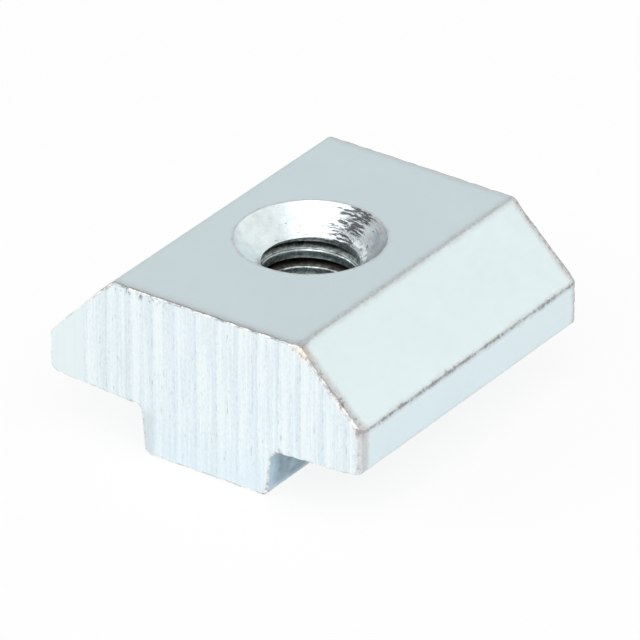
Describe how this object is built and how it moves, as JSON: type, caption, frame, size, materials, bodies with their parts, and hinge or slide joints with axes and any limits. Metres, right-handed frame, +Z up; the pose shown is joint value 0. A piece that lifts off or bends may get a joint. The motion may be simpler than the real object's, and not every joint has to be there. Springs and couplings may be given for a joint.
{
  "type": "t slot nut",
  "caption": "Sliding T slot nut: a short cropped steel bar with a narrow neck, wide sloped shoulders and a countersunk threaded hole, which holds a screw in the slot of a profile.",
  "frame": {"origin": "centre of the neck's flat bottom face, midway across the wings and midway along the nut", "axes": "+Z up, from the neck to the wide countersunk face; X across the wings; Y along the slot, with the end that the picture shows at -Y"},
  "size_m": [0.0196, 0.0196, 0.0094],
  "materials": {
    "zinc_plate": "bright blue-white zinc plating, satin"
  },
  "bodies": {
    "root": {"nut_body": "zinc_plate"}
  },
  "joints": []
}
